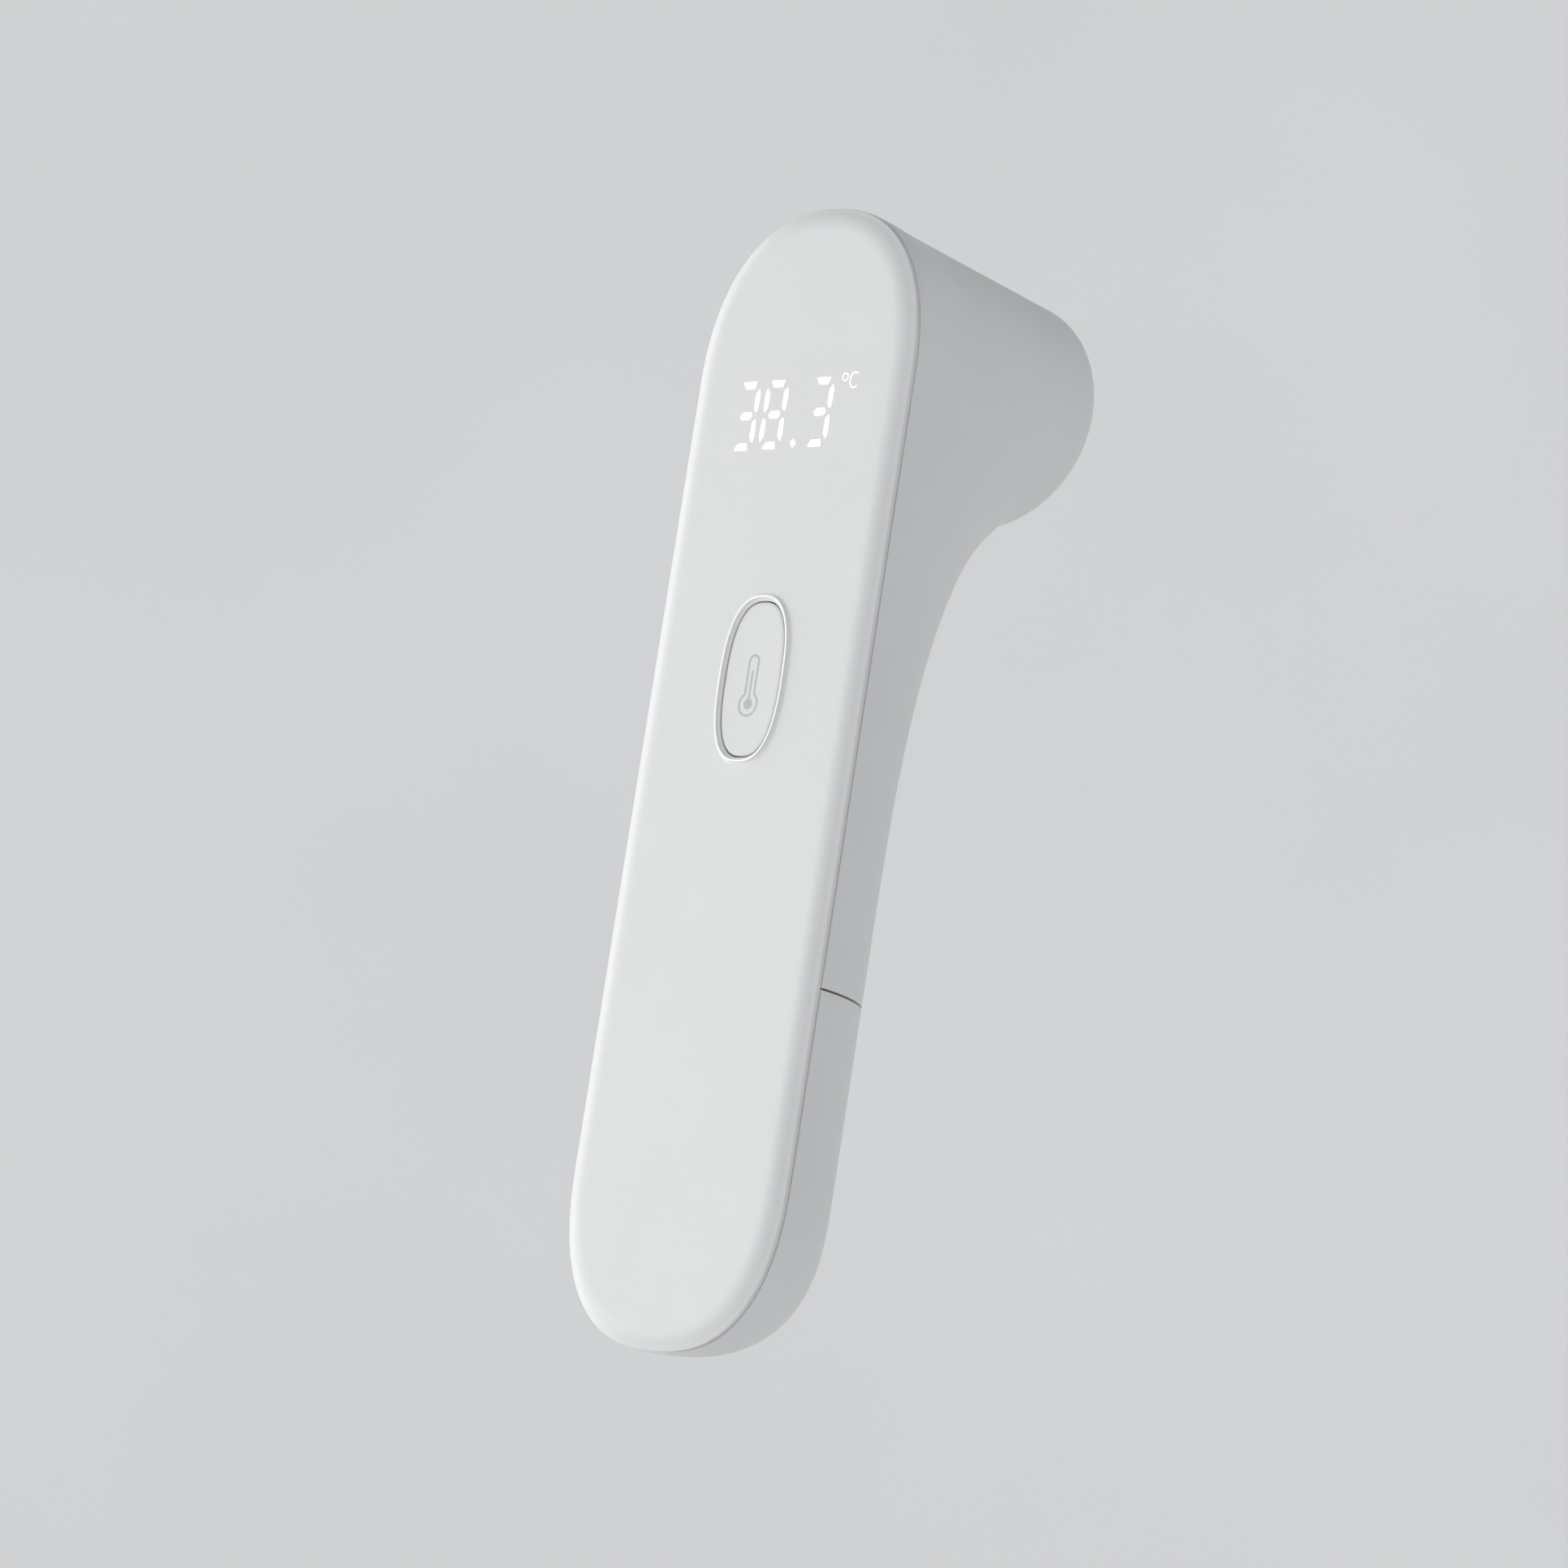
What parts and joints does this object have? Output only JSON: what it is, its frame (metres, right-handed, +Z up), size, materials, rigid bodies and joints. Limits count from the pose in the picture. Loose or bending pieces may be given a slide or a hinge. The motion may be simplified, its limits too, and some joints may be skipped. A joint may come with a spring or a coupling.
{
  "type": "infrared thermometer",
  "caption": "No-touch forehead thermometer: flat oval-ended face with display and oval button, round sensor nose at the back of the head, sliding battery cover.",
  "frame": {"origin": "bottom centre of the bounding box, under the lower end of the handle", "axes": "+Z up the handle, display face towards -Y, sensor nose towards +Y, +X to the right of a person reading the display"},
  "size_m": [0.034, 0.041, 0.138],
  "materials": {
    "shell_plastic": "satin white moulded ABS",
    "button_plastic": "satin white moulded ABS",
    "bezel_plastic": "dark gloss",
    "holder_plastic": "dark satin",
    "reflector": "polished gold plating",
    "window": "dark infrared-clear window",
    "red_window": "dark red clear plastic",
    "nickel": "nickel plate",
    "steel": "zinc-plated steel",
    "tungsten": "sintered tungsten",
    "circuit_board": "green solder mask on glass-epoxy",
    "chip": "moulded black epoxy",
    "capacitor": "moulded tantalum, yellow-brown",
    "flex": "amber polyimide",
    "display": "white light box",
    "gasket": "black foam",
    "boot": "black silicone",
    "cradle_plastic": "light grey ABS",
    "cell_sleeve": "printed sleeve, plain blue"
  },
  "bodies": {
    "housing": {"front_cover": "shell_plastic", "rear_housing": "shell_plastic", "button_ring": "button_plastic", "nose_bezel": "bezel_plastic", "sensor_cone": "reflector", "ir_window": "window", "ir_sensor_can": "nickel", "sensor_holder": "holder_plastic", "sensor_board": "circuit_board", "distance_sensor": "chip", "distance_window": "red_window", "sensor_flex": "flex", "flex_connector": "chip", "main_board": "circuit_board", "processor_chip": "chip", "power_inductor": "chip", "storage_capacitor": "capacitor", "display_module": "display", "display_gasket": "gasket", "tact_switch_body": "steel", "motor_boot": "boot", "motor_can": "nickel", "battery_cradle": "cradle_plastic", "battery_left": "cell_sleeve", "battery_right": "cell_sleeve", "contact_spring_lower": "nickel", "contact_spring_upper": "nickel", "contact_link_plate": "nickel", "contact_plate_left": "nickel", "contact_plate_right": "nickel", "board_screw_1": "steel", "board_screw_2": "steel", "board_screw_3": "steel", "board_screw_4": "steel", "cradle_screw_1": "steel", "cradle_screw_2": "steel", "holder_screw_1": "steel", "holder_screw_2": "steel"},
    "button": {"button_cap": "button_plastic"},
    "switch_plunger": {"tact_switch_plunger": "chip"},
    "vibration_rotor": {"motor_shaft": "steel", "motor_weight": "tungsten"},
    "battery_door": {"battery_cover": "shell_plastic"}
  },
  "joints": [
    {"name": "button_press", "type": "slide", "parent": "housing", "child": "button", "axis": [0, 1, 0], "range_m": [0, 0.0005], "stiffness_N_per_m": 3000, "springref_m": -0.0001},
    {"name": "plunger_travel", "type": "slide", "parent": "housing", "child": "switch_plunger", "axis": [0, 1, 0], "range_m": [0, 0.0005]},
    {"name": "battery_cover_slide", "type": "slide", "parent": "housing", "child": "battery_door", "axis": [0, 0, -1], "range_m": [0, 0.05]},
    {"name": "vibration_motor_spin", "type": "hinge", "parent": "housing", "child": "vibration_rotor", "pos_m": [0, -0.0087, 0.07], "axis": [1, 0, 0], "continuous": true}
  ],
  "couplings": [
    {"joint": "plunger_travel", "follows": "button_press", "ratio": 1}
  ]
}
